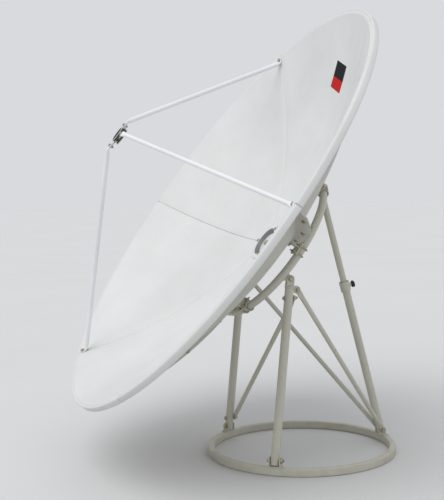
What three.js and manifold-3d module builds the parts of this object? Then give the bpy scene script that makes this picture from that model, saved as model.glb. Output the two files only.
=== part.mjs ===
// Prime-focus satellite dish on a ring-foot ground mount.
// Six pressed steel petals make the reflector. It hangs on a rolled mount ring, which tilts on two
// front legs and is held by a telescoping rear leg with a clamp knob. Three bent tubes carry the
// feed ring. Millimetres, +Z up. The dish faces -Y, and the origin is on the ground, at the middle
// of the footprint of the whole object.
import * as THREE from 'three';
import { mergeVertices } from 'three/addons/utils/BufferGeometryUtils.js';
import Module from 'manifold-3d';

const wasm = await Module();
wasm.setup();

// Driving dimensions. Places on the stand are measured from the middle of the base ring, on the
// ground. Places on the reflector are in its own frame: the vertex is the origin, +Z runs to the
// focus, +Y points up the dish and +X is the axis that it tilts about.
const ELEVATION = 36.3;                 // degrees above the horizon, as set
const VERTEX = [0, -137, 830];
const FOCAL_LENGTH = 720;
const RIM_RADIUS = 900;
const BOWL_RADIUS = 878;                // where the bowl ends and the rim flange begins
const RIM_DEPTH = 24;                   // of the skirt behind the flange
const SHEET = 1.2;
const PETALS = 6;
const PETAL_STEPS = 8;                  // facets round one petal
const SEAM_GAP = 0.5;
const HUB_OPENING = 60;                 // radius of the hole that the hub plates cover
const HUB_PLATE_RADIUS = 78;
const MOUNT_RING = { radius: 300, tube: 14.5, bore: 12.5, z: -35 };
const BASE_RING = { inner: 345, outer: 369, height: 30, wall: 2 };
const TILT_AXIS = { x: 280, y: -142, z: 710 };
const FRONT_LEG_FOOT = { x: 283, y: -212 };
const REAR_LEG_FOOT = [0, 345, 54];
const REAR_LEG_TOP = [0, 99, 1024];
const LEG = { radius: 16, bore: 14, foot: 38, top: 678 };
const REAR_TUBE = { radius: 15.5, bore: 13.3, start: -12, end: 622 };
const REAR_ROD = { radius: 12.5, bore: 10.5, length: 560 };
const CLAMP_HEIGHT = 606;               // of the clamp screw along the rear leg
const BRACE = { radius: 9, bore: 7.4 };
const BOLT = 5;
const BOLT_HOLE = 5.6;
const PLATE = 5;                        // thickness of lugs and ears
const FEED_RING = { inner: 26, outer: 29.5, lip: 32.5, half: 12, z: 694 };
const FEED_TUBE = { radius: 8.5, bore: 7, footRadius: 846, bendRadius: 72 };
const CLEARANCE = 0.5;

const DEG = Math.PI / 180;
const vec = (p) => new THREE.Vector3(...p);

// ---- materials -------------------------------------------------------------------------------
const paint = (color, roughness, metalness = 0.1) =>
  new THREE.MeshStandardMaterial({ color, roughness, metalness });
const REFLECTOR_PAINT = paint(0xd9dbd9, 0.45);
const MOUNT_PAINT = paint(0xb9b8a8, 0.55);
const STRUT_PAINT = paint(0xe6e8ea, 0.4);
const ZINC = paint(0x9a958a, 0.4, 0.9);
const KNOB_PLASTIC = paint(0x161616, 0.5, 0);

// ---- solids ----------------------------------------------------------------------------------
function toSolid(geometry) {
  const bare = geometry.clone();
  bare.deleteAttribute('normal');
  bare.deleteAttribute('uv');
  const merged = mergeVertices(bare, 1e-4);
  return new wasm.Manifold(new wasm.Mesh({
    numProp: 3,
    vertProperties: new Float32Array(merged.attributes.position.array),
    triVerts: new Uint32Array(merged.index.array),
  }));
}

function toGeometry(solid) {
  const mesh = solid.getMesh();
  const geometry = new THREE.BufferGeometry();
  geometry.setAttribute('position', new THREE.BufferAttribute(mesh.vertProperties, 3));
  geometry.setIndex(new THREE.BufferAttribute(mesh.triVerts, 1));
  geometry.computeVertexNormals();
  return geometry;
}

const join = (...parts) =>
  toGeometry(parts.map(toSolid).reduce((whole, part) => whole.add(part)));
const cut = (body, ...tools) =>
  toGeometry(tools.map(toSolid).reduce((rest, tool) => rest.subtract(tool), toSolid(body)));
const keep = (body, region) => toGeometry(toSolid(body).intersect(toSolid(region)));

const box = (size, centre) =>
  new THREE.BoxGeometry(...size).translate(...centre);

// Turns a geometry's +Z to a direction and moves its origin to a point.
function aim(geometry, direction, origin) {
  const turn = new THREE.Quaternion().setFromUnitVectors(
    new THREE.Vector3(0, 0, 1), vec(direction).normalize());
  return geometry.applyQuaternion(turn).translate(...origin);
}

// A round bar between two points.
function bar(from, to, radius, sides = 12) {
  const axis = vec(to).sub(vec(from));
  const body = new THREE.CylinderGeometry(radius, radius, axis.length(), sides);
  body.rotateX(Math.PI / 2).translate(0, 0, axis.length() / 2);
  return aim(body, axis.toArray(), from);
}

const tube = (from, to, radius, bore, sides = 14) => {
  const over = vec(to).sub(vec(from)).normalize();
  const start = vec(from).sub(over).toArray();
  const end = vec(to).add(over).toArray();
  return cut(bar(from, to, radius, sides), bar(start, end, bore, sides));
};

// A solid of revolution about Z from a closed outline of [radius, z] points.
function turned(outline, steps) {
  const area = outline.reduce((sum, [r, z], i) => {
    const [nextR, nextZ] = outline[(i + 1) % outline.length];
    return sum + r * nextZ - nextR * z;
  }, 0);
  const ordered = area > 0 ? [...outline] : [...outline].reverse();
  const closed = [...ordered, ordered[0]].map(([r, z]) => new THREE.Vector2(r, z));
  return new THREE.LatheGeometry(closed, steps).rotateX(Math.PI / 2);
}

const ringBar = (radius, tubeRadius, z, sides, steps) =>
  turned(Array.from({ length: sides }, (_, i) => {
    const a = (i + 0.5) * 2 * Math.PI / sides;
    return [radius + tubeRadius * Math.cos(a), z + tubeRadius * Math.sin(a)];
  }), steps);

// A flat plate from an outline of [u, v] points, centred on its own thickness. The outline's u and
// v run along the next two axes after the plate's normal: X gives Y and Z, Y gives Z and X.
function plate(outline, thickness, normal, offset = 0) {
  const shape = new THREE.Shape(outline.map(([u, v]) => new THREE.Vector2(u, v)));
  const body = new THREE.ExtrudeGeometry(shape, { depth: thickness, bevelEnabled: false });
  body.translate(0, 0, offset - thickness / 2);
  if (normal === 'x') body.rotateX(Math.PI / 2).rotateZ(Math.PI / 2);
  if (normal === 'y') body.rotateX(-Math.PI / 2).rotateY(-Math.PI / 2);
  return body;
}

const arc = (u, v, radius, from, to, steps) =>
  Array.from({ length: steps + 1 }, (_, i) => {
    const a = (from + (to - from) * i / steps) * DEG;
    return [u + radius * Math.cos(a), v + radius * Math.sin(a)];
  });

// Bolt along X with a head and a nut, clamping a grip centred on the origin.
function bolt(grip, radius = BOLT) {
  const half = grip / 2 + CLEARANCE;
  const wide = radius * 1.9;
  const head = radius * 1.4;
  const nut = half + head;
  const outline = [[0, -half - head], [wide, -half - head], [wide, -half], [radius, -half],
    [radius, half], [wide, half], [wide, nut], [radius, nut], [radius, nut + 2.5], [0, nut + 2.5]];
  return turned(outline, 6).rotateY(Math.PI / 2);
}

// ---- scene tree ------------------------------------------------------------------------------
const dish = new THREE.Group();
const reflector = new THREE.Group();
reflector.position.set(...VERTEX);
reflector.rotation.x = (90 - ELEVATION) * DEG;
dish.add(reflector);
reflector.updateMatrixWorld(true);

function add(parent, name, geometry, material) {
  const mesh = new THREE.Mesh(geometry, material);
  mesh.name = name;
  parent.add(mesh);
  return mesh;
}

const toReflector = (p) =>
  vec(p).applyMatrix4(reflector.matrixWorld.clone().invert()).toArray();
const SIDES = [['left', -1], ['right', 1]];

// ---- base ring and feet ----------------------------------------------------------------------
const FRONT_FOOT_ANGLE = Math.atan2(FRONT_LEG_FOOT.y, FRONT_LEG_FOOT.x) / DEG;
const footAngle = { left: 180 - FRONT_FOOT_ANGLE, right: FRONT_FOOT_ANGLE, rear: 90 };
const FOOT_RADIUS = Math.hypot(FRONT_LEG_FOOT.x, FRONT_LEG_FOOT.y);
const RING_MIDDLE = (BASE_RING.inner + BASE_RING.outer) / 2;
const FOOT = { inner: 18, thickness: 4, length: 56, width: 24, height: 38 };
const PIN_HEIGHT = REAR_LEG_FOOT[2];
const EAR_SPAN = FOOT.inner + FOOT.thickness;
const TAB = { width: 20, thickness: 4, reach: 22 };     // of the flat ends of a brace

function baseRing() {
  const { inner, outer, height, wall } = BASE_RING;
  const section = (inset) => {
    const corner = inset > 0 ? 0 : 2.5;
    const [a, b] = [inner + inset, outer - inset];
    const [low, high] = [inset, height - inset];
    if (corner === 0) return [[a, low], [b, low], [b, high], [a, high]];
    return [[a + corner, low], [b - corner, low], [b, low + corner], [b, high - corner],
      [b - corner, high], [a + corner, high], [a, high - corner], [a, low + corner]];
  };
  const drain = bar([RING_MIDDLE, 0, -1], [RING_MIDDLE, 0, 10], 4, 10);
  return cut(turned(section(0), 40), turned(section(wall), 40), drain);
}

// A foot clevis stands on the ring, and its pin runs along the ring.
function footClevis(radius) {
  const { inner, thickness, length, width, height } = FOOT;
  const floor = BASE_RING.height + CLEARANCE;
  const base = box([width, length, thickness], [RING_MIDDLE, 0, floor + thickness / 2]);
  const ear = (side) => plate([
    [floor, radius - 13], [floor, radius + 13],
    ...arc(PIN_HEIGHT, radius, 13, 90, -90, 6),
  ], thickness, 'y', side * (inner + thickness / 2));
  const reach = EAR_SPAN + 1;
  const hole = bar([radius, -reach, PIN_HEIGHT], [radius, reach, PIN_HEIGHT], BOLT_HOLE);
  return cut(join(base, ear(-1), ear(1)), hole);
}

// The rear foot's bolt is longer: it also holds the two side braces, outside the ears.
const REAR_SPAN = EAR_SPAN + CLEARANCE + TAB.thickness;
add(dish, 'base_ring', baseRing(), MOUNT_PAINT);
for (const [name, radius, span] of [['left', FOOT_RADIUS, EAR_SPAN],
  ['right', FOOT_RADIUS, EAR_SPAN], ['rear', REAR_LEG_FOOT[1], REAR_SPAN]]) {
  const foot = new THREE.Group();
  foot.rotation.z = footAngle[name] * DEG;
  dish.add(foot);
  add(foot, `${name}_foot_clevis`, footClevis(radius), MOUNT_PAINT);
  const pin = add(foot, `${name}_foot_bolt`, bolt(2 * span), ZINC);
  pin.position.set(radius, 0, PIN_HEIGHT);
  pin.rotation.z = Math.PI / 2;
}

// ---- front legs ------------------------------------------------------------------------------
const LEG_SLOPE = [
  (TILT_AXIS.x - FRONT_LEG_FOOT.x) / (TILT_AXIS.z - PIN_HEIGHT),
  (TILT_AXIS.y - FRONT_LEG_FOOT.y) / (TILT_AXIS.z - PIN_HEIGHT),
];
const onLeg = (side, z) => [
  side * (FRONT_LEG_FOOT.x + LEG_SLOPE[0] * (z - PIN_HEIGHT)),
  FRONT_LEG_FOOT.y + LEG_SLOPE[1] * (z - PIN_HEIGHT), z];
const BRACE_BOLT = 4;
const CROSS_BRACE = { low: 84, high: 640, behind: 21 };

// The cross brace is bolted through both front legs, from behind.
const crossEnd = (side, z) => {
  const [x, y] = onLeg(side, z);
  return [x, y + CROSS_BRACE.behind, z];
};
const crossHole = (side, z, radius) => {
  const [x, y] = onLeg(side, z);
  return bar([x, y - 40, z], [x, y + 40, z], radius, 12);
};

function frontLeg(side) {
  const shaft = tube(onLeg(side, LEG.foot), onLeg(side, LEG.top), LEG.radius, LEG.bore);
  const turn = (side > 0 ? footAngle.right : footAngle.left) * DEG;
  const pinHole = bar([0, -30, PIN_HEIGHT], [0, 30, PIN_HEIGHT], BOLT_HOLE)
    .translate(FOOT_RADIUS, 0, 0).rotateZ(turn);
  const braceZ = side > 0 ? CROSS_BRACE.high : CROSS_BRACE.low;
  return cut(shaft, pinHole, crossHole(side, braceZ, BRACE_BOLT + CLEARANCE));
}

// The leg's head plugs the tube. It carries two ears for the mount ring's lug, and a gusset behind
// the tube for the side brace.
const HEAD = { ear: 14, gap: PLATE / 2 + 0.7, cap: 6 };
const GUSSET_BOLT = { y: -114, z: 667 };
function legHead(side) {
  const top = onLeg(side, LEG.top + CLEARANCE);
  const capTop = onLeg(side, LEG.top + CLEARANCE + HEAD.cap);
  const plugEnd = onLeg(side, LEG.top - 26);
  const { y, z } = TILT_AXIS;
  const ear = (way) => plate([
    ...arc(y, z, HEAD.ear, 0, 180, 8),
    [top[1] - 15, top[2] + 2], [top[1] + 15, top[2] + 2],
  ], PLATE, 'x', side * TILT_AXIS.x + way * (HEAD.gap + PLATE / 2));
  const hole = bar([side * TILT_AXIS.x - 20, y, z], [side * TILT_AXIS.x + 20, y, z], BOLT_HOLE);
  const plug = bar(plugEnd, capTop, LEG.bore - CLEARANCE, 14);
  const gusset = plate([
    [top[1], capTop[2] - 1], [top[1], top[2] + 1], [GUSSET_BOLT.y - 14, top[2] + 1],
    [GUSSET_BOLT.y - 14, GUSSET_BOLT.z - 8], [GUSSET_BOLT.y - 8, GUSSET_BOLT.z - 12],
    [GUSSET_BOLT.y + 10, GUSSET_BOLT.z - 12], [GUSSET_BOLT.y + 10, GUSSET_BOLT.z + 8],
    [GUSSET_BOLT.y, capTop[2] - 1],
  ], PLATE, 'x', side * TILT_AXIS.x);
  const braceHole = bar([side * TILT_AXIS.x - 20, GUSSET_BOLT.y, GUSSET_BOLT.z],
    [side * TILT_AXIS.x + 20, GUSSET_BOLT.y, GUSSET_BOLT.z], BRACE_BOLT + CLEARANCE, 12);
  const head = join(bar(top, capTop, LEG.radius, 14), plug, ear(-1), ear(1), gusset);
  return cut(head, hole, braceHole);
}

for (const [name, side] of SIDES) {
  add(dish, `front_leg_${name}`, frontLeg(side), MOUNT_PAINT);
  add(dish, `leg_head_${name}`, legHead(side), MOUNT_PAINT);
  const pivot = add(dish, `tilt_bolt_${name}`, bolt(2 * (HEAD.gap + PLATE)), ZINC);
  pivot.position.set(side * TILT_AXIS.x, TILT_AXIS.y, TILT_AXIS.z);
  pivot.rotation.y = side > 0 ? Math.PI : 0;
}

// ---- braces ----------------------------------------------------------------------------------
// A brace is a tube with a flat tab on each end. An end is its bolt's place, that bolt's axis and
// the radius of its hole.
function tab(at, toward, normal) {
  const along = vec(toward).sub(vec(at));
  const n = vec(normal);
  along.addScaledVector(n, -along.dot(n)).normalize();
  const across = new THREE.Vector3().crossVectors(n, along);
  const half = TAB.width / 2;
  const outline = [...arc(0, 0, half, 90, 270, 6), [TAB.reach + 8, -half], [TAB.reach + 8, half]];
  const body = plate(outline, TAB.thickness, 'z');
  body.applyMatrix4(new THREE.Matrix4().makeBasis(along, across, n)).translate(...at);
  return { body, start: vec(at).addScaledVector(along, TAB.reach).toArray() };
}

function brace(first, second) {
  const low = tab(first.at, second.at, first.normal);
  const high = tab(second.at, first.at, second.normal);
  const shaft = tube(low.start, high.start, BRACE.radius, BRACE.bore, 10);
  const holes = [first, second].map(({ at, normal, hole }) => {
    const n = vec(normal).multiplyScalar(20);
    return bar(vec(at).sub(n).toArray(), vec(at).add(n).toArray(), hole, 12);
  });
  return cut(join(shaft, low.body, high.body), ...holes);
}

const X_AXIS = [1, 0, 0];
const Y_AXIS = [0, 1, 0];
const BRACE_HOLE = BRACE_BOLT + CLEARANCE;
add(dish, 'cross_brace', brace(
  { at: crossEnd(-1, CROSS_BRACE.low), normal: Y_AXIS, hole: BRACE_HOLE },
  { at: crossEnd(1, CROSS_BRACE.high), normal: Y_AXIS, hole: BRACE_HOLE }), MOUNT_PAINT);
for (const [name, side, z] of [['left', -1, CROSS_BRACE.low], ['right', 1, CROSS_BRACE.high]]) {
  const [x, y] = onLeg(side, z);
  const grip = LEG.radius + CROSS_BRACE.behind + TAB.thickness / 2 + 2;
  const fixing = add(dish, `cross_brace_bolt_${name}`, bolt(grip, BRACE_BOLT), ZINC);
  fixing.position.set(x, y + (CROSS_BRACE.behind + TAB.thickness / 2 - LEG.radius) / 2, z);
  fixing.rotation.z = Math.PI / 2;
}

// A side brace runs from the gusset on a leg's head to the rear foot's bolt.
const GUSSET_TAB_X = TILT_AXIS.x - PLATE / 2 - CLEARANCE - TAB.thickness / 2;
for (const [name, side] of SIDES) {
  const foot = [side * (REAR_SPAN - TAB.thickness / 2), REAR_LEG_FOOT[1], PIN_HEIGHT];
  const top = [side * GUSSET_TAB_X, GUSSET_BOLT.y, GUSSET_BOLT.z];
  add(dish, `side_brace_${name}`, brace(
    { at: foot, normal: X_AXIS, hole: BOLT_HOLE },
    { at: top, normal: X_AXIS, hole: BRACE_HOLE }), MOUNT_PAINT);
  const grip = PLATE + CLEARANCE + TAB.thickness;
  const fixing = add(dish, `side_brace_bolt_${name}`, bolt(grip, BRACE_BOLT), ZINC);
  fixing.position.set(side * (TILT_AXIS.x + PLATE / 2 - grip / 2), GUSSET_BOLT.y, GUSSET_BOLT.z);
}

// ---- rear leg --------------------------------------------------------------------------------
// Built upright from its foot pin, along its own +Z, and then leaned to its top pin.
const rearLeg = new THREE.Group();
const lean = vec(REAR_LEG_TOP).sub(vec(REAR_LEG_FOOT));
const REAR_LENGTH = lean.length();
rearLeg.position.set(...REAR_LEG_FOOT);
rearLeg.rotation.x = Math.atan2(-lean.y, lean.z);
dish.add(rearLeg);

const across = (z, radius, reach = 30) => bar([-reach, 0, z], [reach, 0, z], radius);
const SCREW = 4;
const COLLAR = { inner: REAR_TUBE.radius + CLEARANCE, outer: 20, half: 20 };
const screwHole = bar([0, 0, CLAMP_HEIGHT], [0, 40, CLAMP_HEIGHT], SCREW + CLEARANCE, 12);

add(rearLeg, 'rear_leg_tube', cut(
  tube([0, 0, REAR_TUBE.start], [0, 0, REAR_TUBE.end], REAR_TUBE.radius, REAR_TUBE.bore, 16),
  across(0, BOLT_HOLE), screwHole), MOUNT_PAINT);

add(rearLeg, 'clamp_collar', cut(join(
  tube([0, 0, CLAMP_HEIGHT - COLLAR.half], [0, 0, CLAMP_HEIGHT + COLLAR.half],
    COLLAR.outer, COLLAR.inner, 16),
  keep(bar([0, 0, CLAMP_HEIGHT], [0, 26, CLAMP_HEIGHT], 9, 12),
    box([30, 20, 30], [0, 28, CLAMP_HEIGHT]))), screwHole), MOUNT_PAINT);

// The knob's screw reaches through the collar and the tube to the rod.
function clampKnob() {
  const lobes = 7;
  const rim = Array.from({ length: lobes * 4 }, (_, i) => {
    const a = i * 2 * Math.PI / (lobes * 4);
    const r = 12.5 + 1.5 * Math.cos(lobes * a);
    return [r * Math.cos(a), r * Math.sin(a)];
  });
  const grip = plate(rim, 13, 'z', 33.5);
  const knob = join(grip, bar([0, 0, 26.6], [0, 0, 30], 8, 16));
  return knob.rotateX(-Math.PI / 2).translate(0, 0, CLAMP_HEIGHT);
}
const screwPath = [REAR_ROD.radius + CLEARANCE, 26.2].map((y) => [0, y, CLAMP_HEIGHT]);
add(rearLeg, 'clamp_screw', bar(...screwPath, SCREW, 12), ZINC);
add(rearLeg, 'clamp_knob', clampKnob(), KNOB_PLASTIC);

const ROD_TOP = REAR_LENGTH - 33;
add(rearLeg, 'rear_leg_rod', tube(
  [0, 0, ROD_TOP - REAR_ROD.length], [0, 0, ROD_TOP], REAR_ROD.radius, REAR_ROD.bore, 16),
MOUNT_PAINT);
const EYE = { radius: 12, thickness: 8 };
add(rearLeg, 'rod_eye', cut(join(
  bar([0, 0, ROD_TOP + CLEARANCE], [0, 0, ROD_TOP + 4], REAR_ROD.radius, 16),
  bar([0, 0, ROD_TOP - 24], [0, 0, ROD_TOP + 4], REAR_ROD.bore - CLEARANCE, 16),
  plate([...arc(0, REAR_LENGTH, EYE.radius, 0, 180, 8),
    [-EYE.radius, ROD_TOP + 2], [EYE.radius, ROD_TOP + 2]], EYE.thickness, 'x')),
across(REAR_LENGTH, BOLT_HOLE)), MOUNT_PAINT);
const EARS = { gap: EYE.thickness / 2 + 1, thickness: PLATE };
const topBolt = add(rearLeg, 'top_pivot_bolt', bolt(2 * (EARS.gap + EARS.thickness)), ZINC);
topBolt.position.z = REAR_LENGTH;

// ---- mount ring ------------------------------------------------------------------------------
const RING_STEPS = 36;
const ringSkin = ringBar(MOUNT_RING.radius, MOUNT_RING.tube, MOUNT_RING.z, 8, RING_STEPS);
const ringRoom = ringBar(
  MOUNT_RING.radius, MOUNT_RING.tube + 0.9, MOUNT_RING.z, 8, RING_STEPS);

function mountRing() {
  const [, axisY, axisZ] = toReflector([TILT_AXIS.x, TILT_AXIS.y, TILT_AXIS.z]);
  const tubeY = -Math.sqrt(MOUNT_RING.radius ** 2 - TILT_AXIS.x ** 2);
  const outline = [...arc(axisY, axisZ, 13, 180, 360, 8),
    [tubeY + 16, MOUNT_RING.z], [tubeY - 16, MOUNT_RING.z]];
  const lugs = SIDES.map(([, side]) => plate(outline, PLATE, 'x', side * TILT_AXIS.x));
  const bore = ringBar(MOUNT_RING.radius, MOUNT_RING.bore, MOUNT_RING.z, 6, RING_STEPS);
  const holes = bar([-320, axisY, axisZ], [320, axisY, axisZ], BOLT_HOLE);
  const vent = bar([0, -MOUNT_RING.radius, MOUNT_RING.z - 20],
    [0, -MOUNT_RING.radius, MOUNT_RING.z], 3, 10);
  return cut(join(ringSkin, ...lugs), bore, holes, vent);
}
add(reflector, 'mount_ring', mountRing(), MOUNT_PAINT);

// The rear leg's bolt rides in a slot along the ears of this clevis, above its place as set.
const SLOT = { radius: 7.4, travel: 11 };
function rearClevis() {
  const [, topY, topZ] = toReflector(REAR_LEG_TOP);
  const saddle = box([46, 34, 22], [0, MOUNT_RING.radius, MOUNT_RING.z - 8.5]);
  const ear = (way) => plate([
    ...arc(topY + 2, topZ, 17, 180, 270, 5), ...arc(topY + 14, topZ, 17, 270, 360, 5),
    [MOUNT_RING.radius + 17, MOUNT_RING.z - 17], [MOUNT_RING.radius - 17, MOUNT_RING.z - 17],
  ], EARS.thickness, 'x', way * (EARS.gap + EARS.thickness / 2));
  const slotZ = topZ + 1.6;
  const slot = plate([
    ...arc(topY, slotZ, SLOT.radius, 90, 270, 8),
    ...arc(topY + SLOT.travel, slotZ, SLOT.radius, -90, 90, 8),
  ], 40, 'x');
  return cut(join(saddle, ear(-1), ear(1)), ringRoom, slot);
}
add(reflector, 'rear_clevis', rearClevis(), MOUNT_PAINT);

// ---- reflector -------------------------------------------------------------------------------
const BOWL_RINGS = [HUB_OPENING, 200, 340, 480, 620, 750, BOWL_RADIUS];   // radii where facets meet
// Depths of a seam's flanges, from the hub outwards. The seams under the struts are stiffer.
const PLAIN_RIB = [16, 22, 22, 22, 22, 22, 22];
const STRUT_RIB = [16, 22, 26, 40, 50, 54, 44];
const bowl = (r) => r * r / (4 * FOCAL_LENGTH);
const slope = (r) => Math.atan(r / (2 * FOCAL_LENGTH));

// Height and slope of the flat facet that stands for the bowl at a radius.
function facet(r) {
  const outer = BOWL_RINGS.findIndex((ring, i) => i > 0 && ring >= r);
  const [a, b] = [BOWL_RINGS[outer - 1], BOWL_RINGS[outer]];
  const rise = (bowl(b) - bowl(a)) / (b - a);
  return { height: bowl(a) + rise * (r - a), angle: Math.atan(rise) };
}

const RIM_PLANE = bowl(BOWL_RADIUS) + 1;
const SEAM_ANGLE = 360 / PETALS;
const STRUT_SEAMS = [0, 2, 4];
const STRUT_BOLT = { radius: 4, place: 866 };

function petalSkin() {
  const face = BOWL_RINGS.map((r) => [r, bowl(r)]);
  const back = BOWL_RINGS.map((r) =>
    [r + SHEET * Math.sin(slope(r)), bowl(r) - SHEET * Math.cos(slope(r))]);
  const rim = [[RIM_RADIUS - 16, RIM_PLANE], [RIM_RADIUS - 5, RIM_PLANE],
    [RIM_RADIUS - 1.5, RIM_PLANE - 1.5], [RIM_RADIUS, RIM_PLANE - 5],
    [RIM_RADIUS, RIM_PLANE - RIM_DEPTH]];
  const inside = [[RIM_RADIUS - SHEET, RIM_PLANE - RIM_DEPTH],
    [RIM_RADIUS - SHEET, RIM_PLANE - 5], [RIM_RADIUS - 5, RIM_PLANE - SHEET],
    [RIM_RADIUS - 16, RIM_PLANE - SHEET]];
  return turned([...face, ...rim, ...inside, ...back.reverse()], PETALS * PETAL_STEPS);
}

// The seam flange follows the bowl's back and lies along the petal's edge, which is turned to +X.
function seamFlange(depths) {
  const radii = [HUB_PLATE_RADIUS + 12, ...BOWL_RINGS.slice(1, -1), 832];
  const edge = radii.map((r) => [facet(r).height - SHEET * 0.6, r]);
  const foot = radii.map((r, i) => [facet(r).height - depths[i], r]).reverse();
  return plate([...edge, ...foot], SHEET, 'y', (SEAM_GAP + SHEET) / 2);
}

function petal(strutAtStart) {
  const reach = 1400;
  const sector = SEAM_ANGLE * DEG;
  const apex = SEAM_GAP / 2 / Math.sin(sector / 2);
  const wedge = plate([
    [apex * Math.cos(sector / 2), apex * Math.sin(sector / 2)],
    [reach, SEAM_GAP / 2],
    [reach * Math.cos(sector) + SEAM_GAP / 2 * Math.sin(sector),
      reach * Math.sin(sector) - SEAM_GAP / 2 * Math.cos(sector)],
  ], 800, 'z');
  const startFlange = seamFlange(strutAtStart ? STRUT_RIB : PLAIN_RIB);
  const endFlange = seamFlange(strutAtStart ? PLAIN_RIB : STRUT_RIB)
    .translate(0, -SEAM_GAP - SHEET, 0).rotateZ(sector);
  const hole = bar([STRUT_BOLT.place, 0, -15], [STRUT_BOLT.place, 0, 15],
    STRUT_BOLT.radius + 0.6, 12);
  leanToBowl(hole);
  if (!strutAtStart) hole.rotateZ(sector);
  return cut(join(keep(petalSkin(), wedge), startFlange, endFlange), hole);
}

// Sets a geometry on the bowl at the strut bolt's place: its Z = 0 lands on the facet, leaned with it.
function leanToBowl(geometry) {
  const r = STRUT_BOLT.place;
  const { height, angle } = facet(r);
  return geometry.translate(-r, 0, 0).rotateY(-angle).translate(r, 0, height);
}

const petalShapes = [petal(true), petal(false)];
for (let i = 0; i < PETALS; i += 1) {
  const mesh = add(reflector, `petal_${i + 1}`, petalShapes[i % 2], REFLECTOR_PAINT);
  mesh.rotation.z = i * SEAM_ANGLE * DEG;
}

// ---- hub -------------------------------------------------------------------------------------
// Two pressed cups, one in the other, clamp the petals' inner edges between their flanges.
const HUB_BOLT = 6;
const hubHole = bar([0, 0, -60], [0, 0, 60], HUB_BOLT + CLEARANCE);
const frontPlate = turned([
  [0, -11], [50, -11], [56, 1], [58, bowl(58) + 1.2],
  [HUB_PLATE_RADIUS, bowl(HUB_PLATE_RADIUS) + 0.8],
  [HUB_PLATE_RADIUS, bowl(HUB_PLATE_RADIUS) + 2.8], [54, 3.6], [48.5, -9], [0, -9]], 24);
const rearPlate = turned([
  [0, -11.6], [51, -11.6], [57, -2.4], [HUB_PLATE_RADIUS + 8, -0.8],
  [HUB_PLATE_RADIUS + 8, -3.8], [59.5, -5.4], [53.5, -14.6], [0, -14.6]], 24);
add(reflector, 'hub_plate_front', cut(frontPlate, hubHole), ZINC);
add(reflector, 'hub_plate_rear', cut(rearPlate, hubHole), MOUNT_PAINT);
const hubBolt = bolt(5.6, HUB_BOLT).rotateY(Math.PI / 2).translate(0, 0, -11.8);
add(reflector, 'hub_bolt', hubBolt, ZINC);

// ---- ring brackets ---------------------------------------------------------------------------
// One beside each seam: a saddle on the mount ring and a web that is bolted to the seam flanges.
function ringBracket() {
  const { radius, z } = MOUNT_RING;
  const saddle = box([38, 44, 18], [radius, 0, z + 11]);
  const web = plate([
    [z + 12, radius - 19], [z + 12, radius + 19], [bowl(radius + 30) - 6, radius + 30],
    [bowl(radius - 25) - 6, radius - 25],
  ], 4, 'y', SEAM_GAP / 2 + SHEET + CLEARANCE + 2);
  return cut(join(saddle, web), ringRoom);
}
const bracketShape = ringBracket();
for (let i = 0; i < PETALS; i += 1) {
  const mesh = add(reflector, `ring_bracket_${i + 1}`, bracketShape, MOUNT_PAINT);
  mesh.rotation.z = i * SEAM_ANGLE * DEG;
}

// ---- feed support ----------------------------------------------------------------------------
const EAR = { bolt: 54, width: 20, thickness: 3 };
const TAB_LIFT = 1.8;                   // of a strut's foot tab above its facet
const feedEarZ = FEED_RING.z;

function feedRing() {
  const { inner, outer, lip, half, z } = FEED_RING;
  const band = turned([
    [inner, z - half], [lip, z - half], [lip, z - half + 3], [outer, z - half + 3],
    [outer, z + half - 3], [lip, z + half - 3], [lip, z + half], [inner, z + half]], 24);
  const ears = STRUT_SEAMS.map((seam) => {
    const outline = [[outer - 2, -EAR.width / 2],
      ...arc(EAR.bolt, 0, EAR.width / 2, -90, 90, 6), [outer - 2, EAR.width / 2]];
    const ear = plate(outline, EAR.thickness, 'z', feedEarZ);
    return ear.rotateZ(seam * SEAM_ANGLE * DEG);
  });
  const holes = STRUT_SEAMS.map((seam) =>
    bar([EAR.bolt, 0, z - 20], [EAR.bolt, 0, z + 20], 3.6, 12)
      .rotateZ(seam * SEAM_ANGLE * DEG));
  return cut(join(band, ...ears), ...holes);
}
add(reflector, 'feed_ring', feedRing(), STRUT_PAINT);

// A strut lies in the plane of its seam. Its foot tab lies on the bowl and its top tab on an ear.
function feedStrut() {
  const { radius, bore, footRadius, bendRadius } = FEED_TUBE;
  const tabThickness = 4;
  const tabZ = feedEarZ + (EAR.thickness + tabThickness) / 2 + CLEARANCE;
  const foot = [footRadius, 0, bowl(footRadius) + 13];
  const bend = [bendRadius, 0, tabZ];
  const shaft = tube(foot, bend, radius, bore, 10);
  const topTab = plate([
    ...arc(EAR.bolt, 0, 9.5, 90, 270, 6), [bendRadius + 3, -9.5], [bendRadius + 3, 9.5],
  ], tabThickness, 'z', tabZ);
  const footTab = leanToBowl(plate([
    [footRadius - 8, -10], [STRUT_BOLT.place, -10],
    ...arc(STRUT_BOLT.place, 0, 10, -60, 60, 4), [STRUT_BOLT.place, 10], [footRadius - 8, 10],
  ], tabThickness, 'z', tabThickness / 2 + TAB_LIFT));
  const stub = bar(foot, [footRadius + 2, 0, bowl(footRadius) + 5.5], radius - 3, 12);
  const topHole = bar([EAR.bolt, 0, tabZ - 10], [EAR.bolt, 0, tabZ + 10], 3.6, 12);
  const footHole = leanToBowl(bar([STRUT_BOLT.place, 0, -20], [STRUT_BOLT.place, 0, 20],
    STRUT_BOLT.radius + 0.6, 12));
  return cut(join(shaft, topTab, footTab, stub), topHole, footHole);
}

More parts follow.
